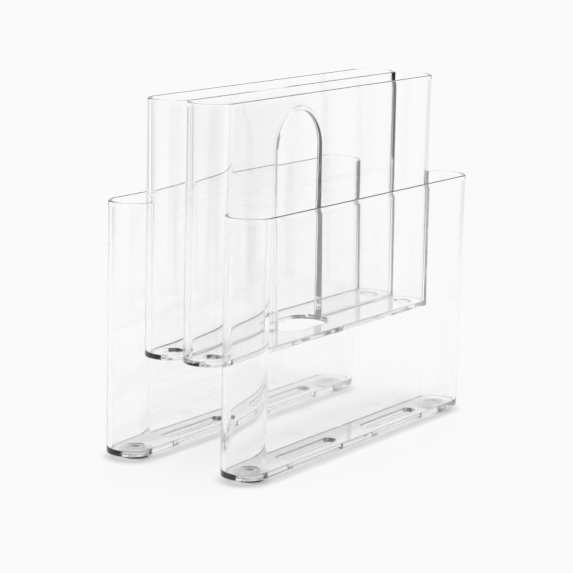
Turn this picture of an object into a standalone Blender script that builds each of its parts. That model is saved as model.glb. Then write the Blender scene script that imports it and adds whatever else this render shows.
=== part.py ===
"""Clear plastic magazine rack: two tall pockets in the middle, a low pocket
in front and one behind, a hand hole through the middle wall, four clear ring
feet with a dark rubber pad under each.

Metres, +Z up.  X runs along the rack, Y through the stack of pockets.
The origin is on the floor under the middle of the rack.
"""
import math

import bmesh
import bpy

# ---------------------------------------------------------------- dimensions
LENGTH = 0.400            # overall, along X
PITCH = 0.0445            # pocket to pocket, along Y
WALL = 0.003              # wall at the rims
R_OUT = (PITCH + WALL) / 2          # half the width of one pocket, outside
R_IN = R_OUT - WALL                 # the same, inside, at the rim
STRAIGHT = LENGTH / 2 - R_OUT       # half the straight part of a pocket

FOOT_HEIGHT = 0.0055      # from the floor to the underside of the low pockets
FOOT_RADIUS = 0.0155
STEM_RADIUS = 0.0087
FOOT_BORE = 0.0050
PAD_RADIUS = 0.0130       # rubber pad under each foot
PAD_HEIGHT = 0.0016
FOOT_X = 0.169            # feet and floor holes, from the middle

LOW_BASE = FOOT_HEIGHT
LOW_RIM = FOOT_HEIGHT + 0.2442
TALL_BASE = FOOT_HEIGHT + 0.1010
TALL_RIM = FOOT_HEIGHT + 0.3443
LOW_FLOOR = 0.0045        # floor thickness
TALL_FLOOR = 0.0040

DRAFT_IN = 0.0100         # how much the inside narrows per metre of depth
DRAFT_OUT = 0.0025        # how much the outside narrows per metre of depth

HAND_HALF = 0.039         # hand hole, half its width
HAND_TOP = FOOT_HEIGHT + 0.3192
RIM_WIDTH = 0.0045        # raised rim round the hand hole
RIM_PROUD = 0.0006

OPENING_HALF_WIDTH = 0.0205   # opening in the tall floors, below the hand hole
HOLE_RADIUS = 0.009           # round holes near the ends of every floor
SLOT_RADIUS = 0.0072          # half the width of a slot in the low floors
SLOT_NEAR = 0.0355            # centres of a slot's round ends
SLOT_FAR = 0.1176

GAP = 0.0003              # parting line between neighbouring pieces
ARC_STEPS = 18            # facets in half a turn

# ---------------------------------------------------------------- collections
for old in list(bpy.data.objects):
    bpy.data.objects.remove(old, do_unlink=True)

parts = bpy.data.collections.new("magazine_rack")
cutters = bpy.data.collections.new("cutters")
bpy.context.scene.collection.children.link(parts)
bpy.context.scene.collection.children.link(cutters)

rack = bpy.data.objects.new("rack", None)
rack.empty_display_size = 0.05
parts.objects.link(rack)


def plastic(name, colour, roughness):
    mat = bpy.data.materials.new(name)
    mat.use_nodes = True
    bsdf = mat.node_tree.nodes["Principled BSDF"]
    bsdf.inputs["Base Color"].default_value = (*colour, 1.0)
    bsdf.inputs["Roughness"].default_value = roughness
    bsdf.inputs["Metallic"].default_value = 0.0
    bsdf.inputs["Transmission Weight"].default_value = 0.9
    bsdf.inputs["IOR"].default_value = 1.49
    return mat


# ---------------------------------------------------------------- modelling
def arc(cx, cy, radius, start, end, steps=ARC_STEPS):
    """Points on a circular arc, angles in degrees."""
    out = []
    for i in range(steps + 1):
        a = math.radians(start + (end - start) * i / steps)
        out.append((cx + radius * math.cos(a), cy + radius * math.sin(a)))
    return out


def stadium(half_straight, radius):
    """A long outline with full round ends, lying along X."""
    return arc(half_straight, 0, radius, -90, 90) + arc(-half_straight, 0, radius, 90, 270)


def extruded(name, points, half_depth):
    """A flat outline given a thickness, as a closed mesh object."""
    curve = bpy.data.curves.new(name, "CURVE")
    curve.dimensions = "2D"
    curve.fill_mode = "BOTH"
    curve.extrude = half_depth
    spline = curve.splines.new("POLY")
    spline.points.add(len(points) - 1)
    for point, (u, v) in zip(spline.points, points):
        point.co = (u, v, 0.0, 1.0)
    spline.use_cyclic_u = True
    shape = bpy.data.objects.new(name + "_outline", curve)
    bpy.context.scene.collection.objects.link(shape)
    bpy.context.view_layer.update()
    evaluated = shape.evaluated_get(bpy.context.evaluated_depsgraph_get())
    mesh = bpy.data.meshes.new_from_object(evaluated)
    bpy.data.objects.remove(shape, do_unlink=True)
    mesh.name = name
    bm = bmesh.new()
    bm.from_mesh(mesh)
    bmesh.ops.remove_doubles(bm, verts=bm.verts, dist=1e-6)
    flat = [e for e in bm.edges
            if len(e.link_faces) == 2 and e.calc_face_angle(1.0) < 1e-4
            and abs(e.verts[0].co.z - e.verts[1].co.z) < 1e-7]
    bmesh.ops.dissolve_edges(bm, edges=flat, use_verts=False)
    bmesh.ops.recalc_face_normals(bm, faces=bm.faces)
    bm.to_mesh(mesh)
    bm.free()
    return bpy.data.objects.new(name, mesh)


def drafted_stadium(name, y, z_low, z_high, half_straight, radius_low, radius_high):
    """A stadium block whose outline changes evenly from bottom to top."""
    obj = extruded(name, stadium(half_straight, radius_high), (z_high - z_low) / 2)
    obj.location = (0.0, y, (z_low + z_high) / 2)
    for vert in obj.data.vertices:
        if vert.co.z < 0:
            spine = max(-half_straight, min(half_straight, vert.co.x))
            grow = radius_low / radius_high
            vert.co.x = spine + (vert.co.x - spine) * grow
            vert.co.y *= grow
    return obj


def block(name, low, high):
    """A box between two corners, from Blender's cube."""
    bm = bmesh.new()
    bmesh.ops.create_cube(bm, size=1.0)
    size = [h - l for l, h in zip(low, high)]
    bmesh.ops.scale(bm, vec=size, verts=bm.verts)
    mesh = bpy.data.meshes.new(name)
    bm.to_mesh(mesh)
    bm.free()
    obj = bpy.data.objects.new(name, mesh)
    obj.location = [(l + h) / 2 for l, h in zip(low, high)]
    return obj


def rod(name, radius, x, y, z_low, z_high):
    bm = bmesh.new()
    bmesh.ops.create_cone(bm, cap_ends=True, segments=2 * ARC_STEPS,
                          radius1=radius, radius2=radius, depth=z_high - z_low)
    mesh = bpy.data.meshes.new(name)
    bm.to_mesh(mesh)
    bm.free()
    obj = bpy.data.objects.new(name, mesh)
    obj.location = (x, y, (z_low + z_high) / 2)
    return obj


def as_part(obj, material):
    parts.objects.link(obj)
    obj.parent = rack
    obj.data.materials.clear()
    obj.data.materials.append(material)
    for poly in obj.data.polygons:
        poly.use_smooth = True
    obj.data.set_sharp_from_angle(angle=math.radians(30))
    return obj


def combine(obj, tool, operation="DIFFERENCE"):
    if tool.name not in cutters.objects:
        cutters.objects.link(tool)
        tool.parent = rack
        tool.hide_render = True
        tool.display_type = "WIRE"
    mod = obj.modifiers.new(tool.name, "BOOLEAN")
    mod.operation = operation
    mod.object = tool
    mod.solver = "EXACT"
    return mod


def inner_radius(depth):
    return R_IN - DRAFT_IN * depth


def outer_radius(depth):
    return R_OUT - DRAFT_OUT * depth


# ---------------------------------------------------------------- low pockets
def low_pocket(name, side, material):
    """Outer wall, round ends and floor of a low pocket.

    The wall towards the middle of the rack belongs to the divider.
    """
    y = side * 1.5 * PITCH
    wall_y = side * PITCH                       # the shared wall
    depth = LOW_RIM - LOW_BASE
    body = drafted_stadium(name, y, LOW_BASE, LOW_RIM, STRAIGHT,
                           outer_radius(depth), R_OUT)
    as_part(body, material)
    over = 0.010
    floor = LOW_BASE + LOW_FLOOR
    combine(body, drafted_stadium(name + "_inside", y, floor, LOW_RIM + over, STRAIGHT,
                                  inner_radius(LOW_RIM - floor), inner_radius(-over)))
    near, far = sorted((wall_y - side * 0.006, wall_y + side * 0.0048))
    combine(body, block(name + "_divider_seat", (-STRAIGHT - GAP, near, floor),
                        (STRAIGHT + GAP, far, LOW_RIM + over)))
    near, far = sorted((wall_y - side * 0.006, wall_y + side * GAP / 2))
    combine(body, block(name + "_neighbour_seat", (-LENGTH, near, TALL_BASE - GAP),
                        (LENGTH, far, LOW_RIM + over)))
    for end in (-1, 1):
        tag = "left" if end < 0 else "right"
        combine(body, rod(name + "_hole_" + tag, HOLE_RADIUS, end * FOOT_X, y,
                          LOW_BASE - 0.005, floor + 0.005))
        slot = extruded(name + "_slot_" + tag,
                        stadium((SLOT_FAR - SLOT_NEAR) / 2, SLOT_RADIUS), 0.008)
        slot.location = (end * (SLOT_FAR + SLOT_NEAR) / 2, y, LOW_BASE + LOW_FLOOR / 2)
        combine(body, slot)
    return body


# ---------------------------------------------------------------- tall pockets
def tall_pocket(name, side, material, opening):
    """Round ends and floor of a tall pocket; both its long walls are dividers."""
    y = side * 0.5 * PITCH
    wall_y = side * PITCH
    depth = TALL_RIM - TALL_BASE
    body = drafted_stadium(name, y, TALL_BASE, TALL_RIM, STRAIGHT,
                           outer_radius(depth), R_OUT)
    as_part(body, material)
    over = 0.010
    floor = TALL_BASE + TALL_FLOOR
    deep = inner_radius(TALL_RIM - floor)
    combine(body, drafted_stadium(name + "_inside", y, floor, TALL_RIM + over, STRAIGHT,
                                  deep, inner_radius(-over)))
    # room for the divider on the low pocket's side, right through the floor
    near, far = sorted((y + side * (deep - GAP), wall_y + side * 0.006))
    combine(body, block(name + "_divider_seat", (-STRAIGHT - GAP, near, TALL_BASE - over),
                        (STRAIGHT + GAP, far, TALL_RIM + over)))
    # the low pocket's round end, where the two touch
    near, far = sorted((wall_y - side * GAP / 2, wall_y + side * 0.006))
    combine(body, block(name + "_neighbour_seat", (-LENGTH, near, TALL_BASE - over),
                        (LENGTH, far, LOW_RIM + GAP)))
    # room for the middle wall, which stands on the floor
    near, far = sorted((-side * 0.006, side * 0.0048))
    combine(body, block(name + "_middle_seat", (-STRAIGHT - GAP, near, floor),
                        (STRAIGHT + GAP, far, TALL_RIM + over)))
    # the other tall pocket
    near, far = sorted((-side * 0.006, side * GAP / 2))
    combine(body, block(name + "_middle_split", (-LENGTH, near, TALL_BASE - over),
                        (LENGTH, far, TALL_RIM + over)))
    combine(body, opening)
    for end in (-1, 1):
        tag = "left" if end < 0 else "right"
        combine(body, rod(name + "_hole_" + tag, HOLE_RADIUS, end * FOOT_X, y,
                          TALL_BASE - 0.005, floor + 0.005))
    return body


# ---------------------------------------------------------------- dividers
def lengthways(name, profile, half_length):
    """A Y-Z profile extruded along X."""
    obj = extruded(name, profile, half_length)
    # the outline's own axes (u, v, depth) become (Y, Z, X)
    obj.rotation_euler = (math.radians(90), 0.0, math.radians(90))
    return obj


def side_divider(name, side, material):
    """Straight wall between a tall and a low pocket, down to the low floor."""
    low_y, tall_y = 1.5 * PITCH, 0.5 * PITCH
    foot = LOW_BASE + LOW_FLOOR + GAP
    tall_floor = TALL_BASE + TALL_FLOOR
    profile = [
        (low_y - inner_radius(LOW_RIM - foot), foot),
        (low_y - inner_radius(0.0), LOW_RIM),
        (tall_y + outer_radius(TALL_RIM - LOW_RIM), LOW_RIM),
        (tall_y + R_OUT, TALL_RIM),
        (tall_y + R_IN, TALL_RIM),
        (tall_y + inner_radius(TALL_RIM - tall_floor), tall_floor),
        (tall_y + inner_radius(TALL_RIM - tall_floor), TALL_BASE),
        (low_y - R_OUT + 0.0003, TALL_BASE),
        (low_y - R_OUT + 0.0006, foot),
    ]
    profile = [(side * y, z) for y, z in profile]
    obj = lengthways(name, profile, STRAIGHT)
    return as_part(obj, material)


def arch(name, half_width, top, bottom, half_depth):
    """A round-topped opening, pointing along Y."""
    spring = top - half_width
    points = [(half_width, bottom)] + arc(0, spring, half_width, 0, 180, 2 * ARC_STEPS)
    points.append((-half_width, bottom))
    obj = extruded(name, points, half_depth)
    obj.rotation_euler = (math.radians(90), 0.0, 0.0)
    return obj


def middle_divider(name, material):
    """Middle wall with the hand hole and the raised rim round it."""
    foot = TALL_BASE + TALL_FLOOR + GAP
    low = PITCH / 2 - inner_radius(TALL_RIM - foot)
    high = PITCH / 2 - R_IN

    def profile(proud, z_low, z_high):
        slope = (low - high) / (TALL_RIM - foot)
        half = [(high + slope * (TALL_RIM - z) + proud, z) for z in (z_low, z_high)]
        return half + [(-y, z) for y, z in reversed(half)]

    wall = lengthways(name, profile(0.0, foot, TALL_RIM), STRAIGHT)
    as_part(wall, material)
    reach = HAND_HALF + RIM_WIDTH
    rim = lengthways("hand_hole_rim_plate",
                     profile(RIM_PROUD, foot, HAND_TOP + RIM_WIDTH + 0.001), reach + 0.001)
    cutters.objects.link(rim)
    rim.parent = rack
    rim.hide_render = True
    rim.display_type = "WIRE"
    combine(rim, arch("hand_hole_rim_outline", reach, HAND_TOP + RIM_WIDTH, foot - 0.01, 0.02),
            "INTERSECT")
    mod = wall.modifiers.new("hand_hole_rim", "BOOLEAN")
    mod.operation = "UNION"
    mod.object = rim
    mod.solver = "EXACT"
    combine(wall, arch("hand_hole_cutter", HAND_HALF, HAND_TOP, foot - 0.02, 0.03))
    return wall


# ---------------------------------------------------------------- feet
def turned(name, x, y, profile, material):
    """A closed (radius, height) profile turned round the Z axis."""
    bm = bmesh.new()
    verts = [bm.verts.new((r, 0.0, z)) for r, z in profile]
    for a, b in zip(verts, verts[1:] + verts[:1]):
        bm.edges.new((a, b))
    mesh = bpy.data.meshes.new(name)
    bm.to_mesh(mesh)
    bm.free()
    obj = bpy.data.objects.new(name, mesh)
    parts.objects.link(obj)
    obj.parent = rack
    obj.location = (x, y, 0.0)
    obj.data.materials.append(material)
    turn = obj.modifiers.new("turned", "SCREW")
    turn.steps = 32
    turn.render_steps = 32
    turn.use_merge_vertices = True
    turn.merge_threshold = 0.00001
    turn.use_smooth_shade = True
    return obj


def foot(name, x, y, material):
    """A turned ring foot with a hollow stem in the hole of the low floor."""
    low = PAD_HEIGHT + GAP
    top = FOOT_HEIGHT - GAP
    stem_top = LOW_BASE + LOW_FLOOR - 0.0002
    edge = 0.0006
    return turned(name, x, y,
                  [(STEM_RADIUS, stem_top), (STEM_RADIUS, top), (FOOT_RADIUS, top),
                   (FOOT_RADIUS, low + edge), (FOOT_RADIUS - edge, low), (FOOT_BORE, low),
                   (FOOT_BORE, stem_top)], material)


def pad(name, x, y, material):
    """The flat rubber ring that the foot stands on."""
    edge = 0.0003
    return turned(name, x, y,
                  [(FOOT_BORE, PAD_HEIGHT), (PAD_RADIUS - edge, PAD_HEIGHT),
                   (PAD_RADIUS, PAD_HEIGHT - edge), (PAD_RADIUS, edge),
                   (PAD_RADIUS - edge, 0.0), (FOOT_BORE, 0.0)], material)


# ---------------------------------------------------------------- the rack
hand_floor = extruded("hand_floor_opening",
                      stadium(HAND_HALF - OPENING_HALF_WIDTH, OPENING_HALF_WIDTH), 0.012)
hand_floor.location = (0.0, 0.0, TALL_BASE + TALL_FLOOR / 2)

CLEAR = (0.93, 0.94, 0.94)
low_pocket("rear_low_pocket", 1, plastic("rear_low_plastic", CLEAR, 0.05))
side_divider("rear_divider", 1, plastic("rear_divider_plastic", CLEAR, 0.05))
tall_pocket("rear_tall_pocket", 1, plastic("rear_tall_plastic", CLEAR, 0.05), hand_floor)
middle_divider("hand_hole_divider", plastic("middle_divider_plastic", CLEAR, 0.05))
tall_pocket("front_tall_pocket", -1, plastic("front_tall_plastic", CLEAR, 0.05), hand_floor)
side_divider("front_divider", -1, plastic("front_divider_plastic", CLEAR, 0.05))
low_pocket("front_low_pocket", -1, plastic("front_low_plastic", CLEAR, 0.05))

for row, row_y in (("front", -1.5 * PITCH), ("rear", 1.5 * PITCH)):
    for column, column_x in (("left", -FOOT_X), ("right", FOOT_X)):
        foot("foot_" + row + "_" + column, column_x, row_y,
             plastic("foot_" + row + "_" + column + "_plastic", (0.80, 0.82, 0.83), 0.25))
        pad("pad_" + row + "_" + column, column_x, row_y,
            plastic("pad_" + row + "_" + column + "_rubber", (0.05, 0.05, 0.05), 0.7))
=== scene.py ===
import math

import bmesh
import bpy
import numpy as np
from mathutils import Matrix, Vector


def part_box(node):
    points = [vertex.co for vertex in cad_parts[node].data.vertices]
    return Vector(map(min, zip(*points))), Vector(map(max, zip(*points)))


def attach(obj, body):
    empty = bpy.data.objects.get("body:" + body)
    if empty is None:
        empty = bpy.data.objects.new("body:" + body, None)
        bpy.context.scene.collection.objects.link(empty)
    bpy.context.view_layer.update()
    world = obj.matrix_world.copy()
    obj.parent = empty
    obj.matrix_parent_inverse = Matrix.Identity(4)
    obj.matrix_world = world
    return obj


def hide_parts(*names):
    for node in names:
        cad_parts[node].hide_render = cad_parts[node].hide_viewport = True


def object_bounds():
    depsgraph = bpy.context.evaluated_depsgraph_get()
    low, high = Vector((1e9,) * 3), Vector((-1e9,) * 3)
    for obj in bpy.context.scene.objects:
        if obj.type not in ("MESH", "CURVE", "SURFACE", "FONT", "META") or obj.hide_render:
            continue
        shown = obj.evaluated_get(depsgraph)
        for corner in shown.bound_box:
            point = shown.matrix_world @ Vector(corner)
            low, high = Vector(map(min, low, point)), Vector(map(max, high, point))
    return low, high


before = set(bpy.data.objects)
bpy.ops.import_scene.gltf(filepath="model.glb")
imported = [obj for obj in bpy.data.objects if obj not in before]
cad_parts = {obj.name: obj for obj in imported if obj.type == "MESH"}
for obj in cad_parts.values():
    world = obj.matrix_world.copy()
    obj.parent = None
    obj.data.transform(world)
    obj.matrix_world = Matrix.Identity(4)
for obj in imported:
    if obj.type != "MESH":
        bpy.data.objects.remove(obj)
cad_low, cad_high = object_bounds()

# ============================================================ dimensions, metres
foot_low, foot_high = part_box("foot_front_right")
pad_low, pad_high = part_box("pad_front_right")
low_low, low_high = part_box("front_low_pocket")
tall_low, tall_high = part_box("front_tall_pocket")
wall_low, wall_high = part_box("hand_hole_divider")

LENGTH = cad_high[0] - cad_low[0]
WIDTH = cad_high[1] - cad_low[1]
FLOOR_Z = cad_low[2]
FOOT_X = (foot_low[0] + foot_high[0]) / 2
FOOT_R = (foot_high[0] - foot_low[0]) / 2
PAD_R = (pad_high[0] - pad_low[0]) / 2
ROW_Y = -(foot_low[1] + foot_high[1]) / 2          # middle of a low pocket
PITCH = ROW_Y / 1.5
R_OUT = WIDTH / 2 - ROW_Y                          # outer radius of the round ends
STRAIGHT = LENGTH / 2 - R_OUT
LOW_BASE, LOW_RIM = low_low[2], low_high[2]
TALL_BASE, TALL_RIM = tall_low[2], tall_high[2]
LOW_FLOOR = LOW_BASE + 0.0045
TALL_FLOOR = TALL_BASE + 0.0040
WALL = 0.0030
R_IN = R_OUT - WALL
DRAFT_IN, DRAFT_OUT = 0.0100, 0.0025
LIP = 0.0028               # wall left at the very rim
LIP_DEPTH = 0.0060         # how far down the inside flares
RIM_ROUND = 0.0008
HAND_HALF = 0.039
HAND_TOP = LOW_BASE + 0.3192
BEAD = 0.0045
BEAD_PROUD = 0.0006
OPENING_HALF = 0.0205
HOLE_R = 0.009
SLOT_R, SLOT_NEAR, SLOT_FAR = 0.0072, 0.0355, 0.1176
ARC = 56                   # facets in a round end

scene = bpy.context.scene


# ============================================================ mesh helpers
def link(obj):
    scene.collection.objects.link(obj)
    return obj


def quarter(r_from, z_from, r_to, z_to, steps, bulge):
    """A quarter ellipse between two profile points; bulge 'out' or 'in'."""
    pts = []
    for i in range(steps + 1):
        a = math.pi / 2 * i / steps
        if bulge == "rz":        # leaves along r, arrives along z
            pts.append((r_from + (r_to - r_from) * math.sin(a), z_from + (z_to - z_from) * (1 - math.cos(a))))
        else:                    # leaves along z, arrives along r
            pts.append((r_from + (r_to - r_from) * (1 - math.cos(a)), z_from + (z_to - z_from) * math.sin(a)))
    return pts


def stadium_loft(name, profile, half_straight, centre, arc=ARC, extra=0):
    """Rings of a stadium outline, one for each (radius, z), closed top and bottom."""
    rings = []
    bm = bmesh.new()
    for radius, z in profile:
        ring = []
        for side in (1, -1):
            for i in range(arc + 1):
                a = math.radians(-90 * side + 180 * i / arc)
                if side < 0:
                    a = math.radians(90 + 180 * i / arc)
                x = side * half_straight + radius * math.cos(a)
                y = radius * math.sin(a)
                ring.append(bm.verts.new((centre[0] + x, centre[1] + y, z)))
            if half_straight > 0 and extra:
                x0 = side * half_straight
                y0 = radius * side
                for k in range(1, extra + 1):
                    x = x0 + (-2 * side * half_straight) * k / (extra + 1)
                    ring.append(bm.verts.new((centre[0] + x, centre[1] + y0, z)))
        rings.append(ring)
    n = len(rings[0])
    for lower, upper in zip(rings, rings[1:]):
        for i in range(n):
            j = (i + 1) % n
            bm.faces.new((lower[i], lower[j], upper[j], upper[i]))
    bm.faces.new(list(reversed(rings[0])))
    bm.faces.new(rings[-1])
    bmesh.ops.remove_doubles(bm, verts=bm.verts, dist=1e-7)
    mesh = bpy.data.meshes.new(name)
    bm.to_mesh(mesh)
    bm.free()
    return link(bpy.data.objects.new(name, mesh))


def boolean(target, tool, operation):
    mod = target.modifiers.new("b", "BOOLEAN")
    mod.operation = operation
    mod.solver = "EXACT"
    mod.object = tool
    bpy.context.view_layer.update()
    depsgraph = bpy.context.evaluated_depsgraph_get()
    mesh = bpy.data.meshes.new_from_object(target.evaluated_get(depsgraph))
    target.modifiers.clear()
    old = target.data
    target.data = mesh
    bpy.data.meshes.remove(old)
    tool_mesh = tool.data
    bpy.data.objects.remove(tool, do_unlink=True)
    bpy.data.meshes.remove(tool_mesh)
    return target


# ============================================================ profiles
def outer_profile(base, rim, straight_until):
    """Outside of a pocket, bottom to top: (radius, z)."""
    low_r = R_OUT - DRAFT_OUT * (straight_until - base)
    edge = 0.0008
    pts = quarter(low_r - edge, base, low_r, base + edge, 9, "rz")
    if straight_until < rim - 0.001:
        pts.append((R_OUT, straight_until))
    pts += quarter(R_OUT, rim - RIM_ROUND, R_OUT - RIM_ROUND, rim, 6, "zr")
    return pts


def inner_profile(floor, rim):
    """Inside of a pocket, bottom to top, running out above the rim."""
    def at(z):
        depth = rim - z
        r = R_IN - DRAFT_IN * depth
        if depth < LIP_DEPTH:
            t = 1 - depth / LIP_DEPTH
            r += (WALL - LIP) * t * t * (3 - 2 * t) * 0.5 + (WALL - LIP) * 0.5 * t * t
        return r
    fillet = 0.0012
    pts = quarter(at(floor) - fillet, floor, at(floor + fillet), floor + fillet, 8, "rz")
    pts.append((at(rim - LIP_DEPTH), rim - LIP_DEPTH))
    steps = 14
    for i in range(1, steps + 1):
        z = rim - LIP_DEPTH + (LIP_DEPTH - RIM_ROUND) * i / steps
        pts.append((at(z), z))
    r = pts[-1][0]
    flare = quarter(r, rim - RIM_ROUND, r + RIM_ROUND, rim, 6, "zr")
    # the flare leaves upwards and turns outwards
    pts += flare[1:]
    pts.append((r + RIM_ROUND, rim + 0.004))
    return pts


def through_profile(radius, low, high, edge, over=0.0015):
    pts = [(radius + edge, low - over), (radius + edge, low)]
    pts += quarter(radius + edge, low, radius, low + edge, 5, "rz")[1:]
    pts += quarter(radius, high - edge, radius + edge, high, 5, "zr")
    pts.append((radius + edge, high + over))
    return pts


# ============================================================ the clear moulding
def flush_side(cutter, centre_y, toward):
    """Takes the lip flare off the side of a cavity that runs into the taller wall."""
    for v in cutter.data.vertices:
        if v.co.z < LOW_RIM - LIP_DEPTH - 1e-6:
            continue
        x0 = max(-STRAIGHT, min(STRAIGHT, v.co.x))
        dx, dy = v.co.x - x0, v.co.y - centre_y
        radius = math.hypot(dx, dy)
        t = (dy / radius * toward - 0.45) / 0.45
        t = max(0.0, min(1.0, t))
        t = t * t * (3 - 2 * t)
        plain = R_IN + 0.00006 - DRAFT_IN * (LOW_RIM - v.co.z)
        scale = (radius + (plain - radius) * t) / radius
        v.co.x, v.co.y = x0 + dx * scale, centre_y + dy * scale
    return cutter


def low_pocket(side):
    y = side * ROW_Y
    body = stadium_loft("low", outer_profile(LOW_BASE, LOW_RIM, LOW_RIM), STRAIGHT, (0, y))
    cavity = stadium_loft("cut", inner_profile(LOW_FLOOR, LOW_RIM), STRAIGHT, (0, y))
    boolean(body, flush_side(cavity, y, -side), "DIFFERENCE")
    for end in (-1, 1):
        boolean(body, stadium_loft("hole", through_profile(HOLE_R, LOW_BASE, LOW_FLOOR, 0.0005),
                                   0.0, (end * FOOT_X, y), 24), "DIFFERENCE")
        boolean(body, stadium_loft("slot", through_profile(SLOT_R, LOW_BASE, LOW_FLOOR, 0.0003),
                                   (SLOT_FAR - SLOT_NEAR) / 2,
                                   (end * (SLOT_FAR + SLOT_NEAR) / 2, y), 24), "DIFFERENCE")
    return body


def half_wall(z):
    """Half the thickness of the middle wall at a height."""
    return PITCH / 2 - (R_IN - DRAFT_IN * (TALL_RIM - z))


def arch_path(radius, bottom, steps=64, leg_steps=8):
    """Points (x, z, nx, nz) of a round-topped arch, left foot to right foot."""
    spring = HAND_TOP - HAND_HALF
    pts = []
    for i in range(leg_steps):
        pts.append((-radius, bottom + (spring - bottom) * i / leg_steps, -1.0, 0.0))
    for i in range(steps + 1):
        a = math.pi - math.pi * i / steps
        pts.append((radius * math.cos(a), spring + radius * math.sin(a), math.cos(a), math.sin(a)))
    for i in range(leg_steps):
        pts.append((radius, spring - (spring - bottom) * (i + 1) / leg_steps, 1.0, 0.0))
    return pts


def arch_cutter(radius, bottom, depth):
    """A slab the shape of the arch, closed at the bottom."""
    bm = bmesh.new()
    front = [bm.verts.new((x, -depth, z)) for x, z, _, _ in arch_path(radius, bottom)]
    back = [bm.verts.new((x, depth, z)) for x, z, _, _ in arch_path(radius, bottom)]
    n = len(front)
    for i in range(n):
        j = (i + 1) % n
        bm.faces.new((front[i], back[i], back[j], front[j]))
    bm.faces.new(front)
    bm.faces.new(list(reversed(back)))
    bmesh.ops.recalc_face_normals(bm, faces=bm.faces)
    mesh = bpy.data.meshes.new("arch")
    bm.to_mesh(mesh)
    bm.free()
    return link(bpy.data.objects.new("arch", mesh))


def bead(bottom):
    """The raised rim of the hand hole: a rounded bar swept along the arch."""
    section = []
    corner = 0.0007
    for k, (su, sv) in enumerate(((1, 1), (-1, 1), (-1, -1), (1, -1))):
        for i in range(9):
            a = math.radians(90 * k + 90 * i / 8)
            section.append((su, sv, math.cos(a) * corner, math.sin(a) * corner))
    bm = bmesh.new()
    rings = []
    for x, z, nx, nz in arch_path(HAND_HALF + BEAD / 2, bottom):
        half = half_wall(z) + BEAD_PROUD
        ring = []
        for su, sv, du, dv in section:
            u = su * (BEAD / 2 - corner) + du
            v = sv * (half - corner) + dv
            ring.append(bm.verts.new((x + nx * u, v, z + nz * u)))
        rings.append(ring)
    n = len(rings[0])
    for a, b in zip(rings, rings[1:]):
        for i in range(n):
            j = (i + 1) % n
            bm.faces.new((a[i], a[j], b[j], b[i]))
    bm.faces.new(rings[0])
    bm.faces.new(list(reversed(rings[-1])))
    bmesh.ops.remove_doubles(bm, verts=bm.verts, dist=1e-7)
    bmesh.ops.recalc_face_normals(bm, faces=bm.faces)
    mesh = bpy.data.meshes.new("bead")
    bm.to_mesh(mesh)
    bm.free()
    return link(bpy.data.objects.new("bead", mesh))


def tall_pair():
    y = PITCH / 2
    body = stadium_loft("tall", outer_profile(TALL_BASE, TALL_RIM, LOW_RIM), STRAIGHT, (0, y))
    boolean(body, stadium_loft("tall2", outer_profile(TALL_BASE, TALL_RIM, LOW_RIM), STRAIGHT, (0, -y)), "UNION")
    for side in (1, -1):
        boolean(body, stadium_loft("cut", inner_profile(TALL_FLOOR, TALL_RIM), STRAIGHT, (0, side * y)), "DIFFERENCE")
    boolean(body, arch_cutter(HAND_HALF + BEAD / 2, TALL_BASE + 0.002, 0.012), "DIFFERENCE")
    boolean(body, bead(TALL_BASE + 0.001), "UNION")
    boolean(body, stadium_loft("opening", through_profile(OPENING_HALF, TALL_BASE, TALL_FLOOR, 0.0008, 0.0001),
                               HAND_HALF - OPENING_HALF, (0, 0), 40), "DIFFERENCE")
    for end in (-1, 1):
        for side in (-1, 1):
            boolean(body, stadium_loft("hole", through_profile(HOLE_R, TALL_BASE, TALL_FLOOR, 0.0005),
                                       0.0, (end * FOOT_X, side * y), 24), "DIFFERENCE")
    return body


body = tall_pair()
boolean(body, low_pocket(1), "UNION")
boolean(body, low_pocket(-1), "UNION")
body.name = "clear_moulding"
body.data.name = "clear_moulding"

bm = bmesh.new()
bm.from_mesh(body.data)
bmesh.ops.remove_doubles(bm, verts=bm.verts, dist=2e-7)
bmesh.ops.dissolve_degenerate(bm, edges=bm.edges, dist=1e-7)
loose = [v for v in bm.verts if not v.link_faces]
bmesh.ops.delete(bm, geom=loose, context="VERTS")
print("BODY verts", len(bm.verts), "faces", len(bm.faces),
      "open edges", sum(1 for e in bm.edges if len(e.link_faces) != 2), "volume", bm.calc_volume())
bm.to_mesh(body.data)
bm.free()
for poly in body.data.polygons:
    poly.use_smooth = True
body.data.set_sharp_from_angle(angle=math.radians(28))
weighted = body.modifiers.new("weighted_normals", "WEIGHTED_NORMAL")
weighted.mode = "FACE_AREA"
weighted.keep_sharp = True
weighted.weight = 50


# ============================================================ feet
def foot(name, x, y):
    r_out, bore, stem = FOOT_R, 0.0050, HOLE_R - 0.0003
    low = foot_low[2]
    top = LOW_BASE - 0.0003
    stem_top = LOW_FLOOR - 0.0004
    e = 0.0009
    prof = []
    prof += quarter(bore + 0.0004, low, bore, low + 0.0004, 5, "rz")[::-1]
    prof += quarter(r_out - e, low, r_out, low + e, 6, "rz")
    prof += quarter(r_out, top - 0.0005, r_out - 0.0005, top, 5, "zr")
    prof += [(stem, top)]
    prof += quarter(stem, stem_top - 0.0004, stem - 0.0004, stem_top, 5, "zr")
    prof += quarter(bore + 0.0004, stem_top, bore, stem_top - 0.0004, 5, "rz")
    return turned(name, x, y, prof)


def pad(name, x, y):
    """A rubber ring with rounded edges and a shallow groove round its side."""
    r_out, bore, e = PAD_R, 0.0050, 0.0003
    low, top = pad_low[2], pad_high[2]
    mid = (low + top) / 2
    prof = quarter(bore + e, low, bore, low + e, 4, "rz")[::-1]
    prof += quarter(r_out - e, low, r_out, low + e, 4, "rz")
    prof += [(r_out, mid - 0.00015), (r_out - 0.00015, mid), (r_out, mid + 0.00015)]
    prof += quarter(r_out, top - e, r_out - e, top, 4, "zr")
    prof += quarter(bore + e, top, bore, top - e, 4, "rz")
    return turned(name, x, y, prof)


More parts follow.
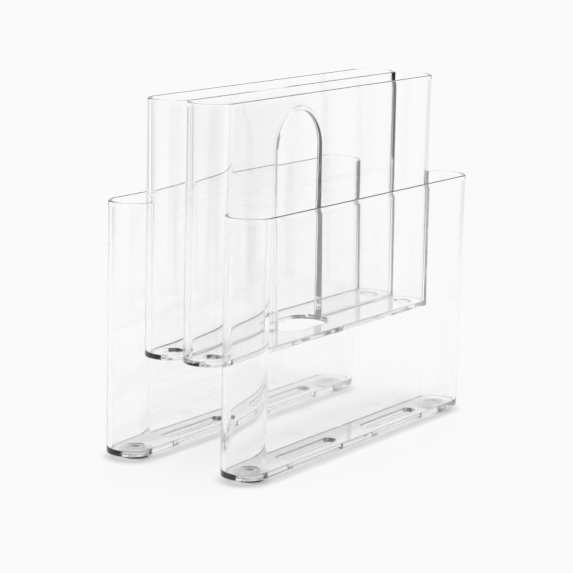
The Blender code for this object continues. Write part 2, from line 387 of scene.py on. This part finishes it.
def turned(name, x, y, prof, steps=96):
    bm = bmesh.new()
    rings = []
    for i in range(steps):
        a = 2 * math.pi * i / steps
        rings.append([bm.verts.new((x + r * math.cos(a), y + r * math.sin(a), z)) for r, z in prof])
    n = len(prof)
    for i in range(steps):
        a, b = rings[i], rings[(i + 1) % steps]
        for k in range(n):
            m = (k + 1) % n
            bm.faces.new((a[k], b[k], b[m], a[m]))
    bmesh.ops.remove_doubles(bm, verts=bm.verts, dist=1e-7)
    bmesh.ops.recalc_face_normals(bm, faces=bm.faces)
    mesh = bpy.data.meshes.new(name)
    bm.to_mesh(mesh)
    bm.free()
    for poly in mesh.polygons:
        poly.use_smooth = True
    mesh.set_sharp_from_angle(angle=math.radians(35))
    return link(bpy.data.objects.new(name, mesh))


feet = []
pads = []
for row, row_y in (("front", -ROW_Y), ("rear", ROW_Y)):
    for column, column_x in (("left", -FOOT_X), ("right", FOOT_X)):
        feet.append((foot(f"ring_foot_{row}_{column}", column_x, row_y), f"foot_{row}_{column}"))
        pads.append((pad(f"rubber_pad_{row}_{column}", column_x, row_y), f"pad_{row}_{column}"))


# ============================================================ materials
def clear_plastic(name, tint, flow_scale, scuff_scale, scuff_from, clear=1.0):
    """Clear plastic with a faint uneven tint, slow flow waviness and a few fine scuffs."""
    mat = bpy.data.materials.new(name)
    mat.use_nodes = True
    nt = mat.node_tree
    bsdf = nt.nodes["Principled BSDF"]
    bsdf.inputs["Transmission Weight"].default_value = clear
    bsdf.inputs["IOR"].default_value = 1.49
    where = nt.nodes.new("ShaderNodeTexCoord")
    stretch = nt.nodes.new("ShaderNodeMapping")
    stretch.inputs["Scale"].default_value = (1.0, 1.0, 0.35)
    nt.links.new(where.outputs["Object"], stretch.inputs["Vector"])

    flow = nt.nodes.new("ShaderNodeTexNoise")
    flow.inputs["Scale"].default_value = flow_scale
    flow.inputs["Detail"].default_value = 2.0
    flow.inputs["Roughness"].default_value = 0.4
    nt.links.new(stretch.outputs["Vector"], flow.inputs["Vector"])
    tone = nt.nodes.new("ShaderNodeValToRGB")
    tone.color_ramp.elements[0].position = 0.30
    tone.color_ramp.elements[0].color = (*tint, 1.0)
    tone.color_ramp.elements[1].position = 0.70
    tone.color_ramp.elements[1].color = (1.0, 1.0, 1.0, 1.0)
    nt.links.new(flow.outputs["Fac"], tone.inputs[0])
    nt.links.new(tone.outputs[0], bsdf.inputs["Base Color"])
    bump = nt.nodes.new("ShaderNodeBump")
    bump.inputs["Strength"].default_value = 0.5
    bump.inputs["Distance"].default_value = 0.000012
    nt.links.new(flow.outputs["Fac"], bump.inputs["Height"])
    nt.links.new(bump.outputs["Normal"], bsdf.inputs["Normal"])

    scuff = nt.nodes.new("ShaderNodeTexNoise")
    scuff.inputs["Scale"].default_value = scuff_scale
    scuff.inputs["Detail"].default_value = 6.0
    scuff.inputs["Roughness"].default_value = 0.75
    scuff.inputs["Distortion"].default_value = 1.5
    nt.links.new(where.outputs["Object"], scuff.inputs["Vector"])
    worn = nt.nodes.new("ShaderNodeValToRGB")
    worn.color_ramp.elements[0].position = scuff_from
    worn.color_ramp.elements[0].color = (0.0, 0.0, 0.0, 1.0)
    worn.color_ramp.elements[1].position = scuff_from + 0.12
    worn.color_ramp.elements[1].color = (0.06, 0.06, 0.06, 1.0)
    nt.links.new(scuff.outputs["Fac"], worn.inputs[0])
    nt.links.new(worn.outputs[0], bsdf.inputs["Roughness"])

    volume = nt.nodes.new("ShaderNodeVolumeAbsorption")
    volume.inputs["Color"].default_value = (0.5, 0.5, 0.5, 1.0)
    volume.inputs["Density"].default_value = 4.0
    nt.links.new(volume.outputs["Volume"], nt.nodes["Material Output"].inputs["Volume"])
    return mat


body_mat = clear_plastic("clear_body", (0.992, 0.995, 0.995), 14.0, 90.0, 0.66)
foot_mat = clear_plastic("foot_clear", (0.985, 0.988, 0.988), 120.0, 400.0, 0.62, 0.72)
body.data.materials.clear()
body.data.materials.append(body_mat)
for obj, _ in feet:
    obj.data.materials.append(foot_mat)

pad_mat = bpy.data.materials.new("pad_rubber")
pad_mat.use_nodes = True
pt = pad_mat.node_tree
pb = pt.nodes["Principled BSDF"]
pb.inputs["Roughness"].default_value = 0.65
p_coord = pt.nodes.new("ShaderNodeTexCoord")
p_noise = pt.nodes.new("ShaderNodeTexNoise")
p_noise.inputs["Scale"].default_value = 900.0
p_noise.inputs["Detail"].default_value = 4.0
pt.links.new(p_coord.outputs["Object"], p_noise.inputs["Vector"])
p_ramp = pt.nodes.new("ShaderNodeValToRGB")
p_ramp.color_ramp.elements[0].position = 0.3
p_ramp.color_ramp.elements[0].color = (0.012, 0.012, 0.012, 1)
p_ramp.color_ramp.elements[1].position = 0.75
p_ramp.color_ramp.elements[1].color = (0.045, 0.045, 0.045, 1)
pt.links.new(p_noise.outputs["Fac"], p_ramp.inputs[0])
pt.links.new(p_ramp.outputs[0], pb.inputs["Base Color"])
p_bump = pt.nodes.new("ShaderNodeBump")
p_bump.inputs["Strength"].default_value = 0.3
p_bump.inputs["Distance"].default_value = 0.0001
pt.links.new(p_noise.outputs["Fac"], p_bump.inputs["Height"])
pt.links.new(p_bump.outputs["Normal"], pb.inputs["Normal"])
for obj, _ in pads:
    obj.data.materials.append(pad_mat)

# ============================================================ frame
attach(body, "root")
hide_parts("rear_low_pocket", "rear_divider", "rear_tall_pocket", "hand_hole_divider",
            "front_tall_pocket", "front_divider", "front_low_pocket")
for obj, node in feet:
    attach(obj, "root")
    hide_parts(node)
for obj, node in pads:
    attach(obj, "root")
    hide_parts(node)

# ============================================================ floor, light, camera
def node(tree, kind, **sockets):
    n = tree.nodes.new(kind)
    for key, value in sockets.items():
        n.inputs[int(key[1:])].default_value = value
    return n


def math_node(tree, operation, a, b=None, clamp=False):
    n = tree.nodes.new("ShaderNodeMath")
    n.operation = operation
    n.use_clamp = clamp
    for i, v in enumerate((a, b)):
        if v is None:
            continue
        if isinstance(v, (int, float)):
            n.inputs[i].default_value = v
        else:
            tree.links.new(v, n.inputs[i])
    return n.outputs[0]


def smooth_node(tree, value, low, high, to_low=0.0, to_high=1.0):
    n = tree.nodes.new("ShaderNodeMapRange")
    n.interpolation_type = "SMOOTHSTEP"
    tree.links.new(value, n.inputs["Value"])
    n.inputs["From Min"].default_value = low
    n.inputs["From Max"].default_value = high
    n.inputs["To Min"].default_value = to_low
    n.inputs["To Max"].default_value = to_high
    return n.outputs["Result"]


FLOOR_REACH = 9.0
bm = bmesh.new()
rings = 24
segments = 96
middle = bm.verts.new((0, 0, 0))
previous = None
for i in range(1, rings + 1):
    r = FLOOR_REACH * (i / rings) ** 2
    ring = [bm.verts.new((r * math.cos(2 * math.pi * k / segments), r * math.sin(2 * math.pi * k / segments), 0))
            for k in range(segments)]
    for k in range(segments):
        m = (k + 1) % segments
        if previous is None:
            bm.faces.new((middle, ring[k], ring[m]))
        else:
            bm.faces.new((previous[k], ring[k], ring[m], previous[m]))
    previous = ring
floor_mesh = bpy.data.meshes.new("floor")
bm.to_mesh(floor_mesh)
bm.free()
floor = link(bpy.data.objects.new("floor", floor_mesh))
floor.location.z = FLOOR_Z - 0.0002
fm = bpy.data.materials.new("floor")
fm.use_nodes = True
ft = fm.node_tree
fb = ft.nodes["Principled BSDF"]
fb.inputs["Base Color"].default_value = (0.90, 0.90, 0.90, 1)
fb.inputs["Roughness"].default_value = 0.85
fb.inputs["Specular IOR Level"].default_value = 0.15
f_coord = ft.nodes.new("ShaderNodeTexCoord")
f_len = ft.nodes.new("ShaderNodeVectorMath")
f_len.operation = "LENGTH"
ft.links.new(f_coord.outputs["Object"], f_len.inputs[0])
fade = smooth_node(ft, f_len.outputs["Value"], 0.55, 1.45, 1.0, 0.0)
ft.links.new(fade, fb.inputs["Alpha"])
floor.data.materials.append(fm)

VIEW = math.radians(33.0)             # azimuth of the backdrop, from +X
BAND, OVERHEAD = 0.35, 1.49
world = bpy.data.worlds.new("studio")
scene.world = world
world.use_nodes = True
wn = world.node_tree
bg = wn.nodes["Background"]
coord = wn.nodes.new("ShaderNodeTexCoord")
sep = wn.nodes.new("ShaderNodeSeparateXYZ")
wn.links.new(coord.outputs["Generated"], sep.inputs[0])
X, Y, Z = sep.outputs[0], sep.outputs[1], sep.outputs[2]
along = math_node(wn, "ADD", math_node(wn, "MULTIPLY", X, math.cos(VIEW)), math_node(wn, "MULTIPLY", Y, math.sin(VIEW)))
across = math_node(wn, "SUBTRACT", math_node(wn, "MULTIPLY", Y, math.cos(VIEW)), math_node(wn, "MULTIPLY", X, math.sin(VIEW)))
turn = math_node(wn, "ADD", math_node(wn, "DIVIDE", math_node(wn, "ARCTAN2", across, along), 2 * math.pi), 0.5)


def around(points):
    """Radiance by azimuth: (degrees to the left of the backdrop, value)."""
    ramp = wn.nodes.new("ShaderNodeValToRGB")
    ramp.color_ramp.interpolation = "EASE"
    elements = ramp.color_ramp.elements
    while len(elements) > 1:
        elements.remove(elements[-1])
    for i, (degrees, value) in enumerate(points):
        position = 0.5 + degrees / 360.0
        if i == 0:
            element = elements[0]
            element.position = position
        else:
            element = elements.new(position)
        element.color = (value, value, value, 1.0)
    wn.links.new(turn, ramp.inputs[0])
    return math_node(wn, "MULTIPLY", ramp.outputs[0], 1.0)


def blend(a, b, t):
    """a where t is 0, b where t is 1; a and b are sockets or numbers."""
    return math_node(wn, "ADD", math_node(wn, "MULTIPLY", a, math_node(wn, "SUBTRACT", 1.0, t)), math_node(wn, "MULTIPLY", b, t))


side = around([(-180, 0.06), (-152, 0.08), (-146, 0.45), (-130, 0.60), (-120, 0.92), (-108, 0.92), (-98, 0.38),
               (-72, 0.45), (-66.8, 0.62), (-64.4, 0.98), (-58, 1.0), (-50, 0.80), (-15, 0.78),
               (-9, 0.96), (-5, 1.0), (5, 1.0), (10, 0.94), (12, 0.90), (16, 0.82), (20, 0.76),
               (24, 0.76), (26.5, 0.38), (31, 0.38), (34, 0.92), (41, 1.0), (66, 0.98), (85, 0.86), (150, 1.0), (163, 0.95),
               (169, 0.08), (179, 0.06)])
side = math_node(wn, "MULTIPLY", side, 1.025)
side = blend(1.02, side, smooth_node(wn, Z, -0.24, -0.17))     # pale again further down
band = around([(-180, 0.28), (-60, 0.32), (-18, 0.36), (-12, 1.0), (12, 1.0), (18, 0.36), (60, 0.32), (179, 0.28)])
high = blend(band, BAND, smooth_node(wn, Z, 0.22, 0.34))
room = blend(side, high, smooth_node(wn, Z, -0.03, 0.05))
sky = blend(room, OVERHEAD, smooth_node(wn, Z, 0.45, 0.70))
wn.links.new(sky, bg.inputs["Color"])
bg.inputs["Strength"].default_value = 1.0

AZ, EL, ROLL = math.radians(-57.023), math.radians(11.159), math.radians(1.474)
back = Vector((math.sin(AZ) * math.cos(EL), -math.cos(AZ) * math.cos(EL), math.sin(EL)))
right = (-back).cross(Vector((0, 0, 1))).normalized()
up = right.cross(-back)
right2 = math.cos(ROLL) * right + math.sin(ROLL) * up
up2 = -math.sin(ROLL) * right + math.cos(ROLL) * up
cam = bpy.data.cameras.new("camera")
cam.sensor_width = 36.0
cam.lens = 2273.19 * 36.0 / 573.0
cam.shift_x = -(293.055 - 286.5) / 573.0
cam.clip_end = 100.0
camera = link(bpy.data.objects.new("camera", cam))
rot = Matrix((right2, up2, back)).transposed()
place = Vector((0, 0, 0.1431 + LOW_BASE)) + back * 2.26508
camera.matrix_world = Matrix.Translation(place) @ rot.to_4x4()
scene.camera = camera

scene.view_settings.view_transform = "Standard"
scene.view_settings.look = "None"
scene.view_settings.use_curve_mapping = True
curves = scene.view_settings.curve_mapping
curves.use_clip = False
curves.extend = "HORIZONTAL"
for point, (px, py) in zip(curves.curves[3].points, ((0.0, 0.0), (1.0, 0.956))):
    point.location = (px, py)
for px, py in ((0.85, 0.85), (0.93, 0.925), (0.97, 0.952)):
    curves.curves[3].points.new(px, py)
curves.update()
scene.cycles.max_bounces = 20
scene.cycles.transmission_bounces = 20
scene.cycles.glossy_bounces = 20
scene.cycles.blur_glossy = 0.0
scene.cycles.transparent_max_bounces = 16

bpy.context.view_layer.update()
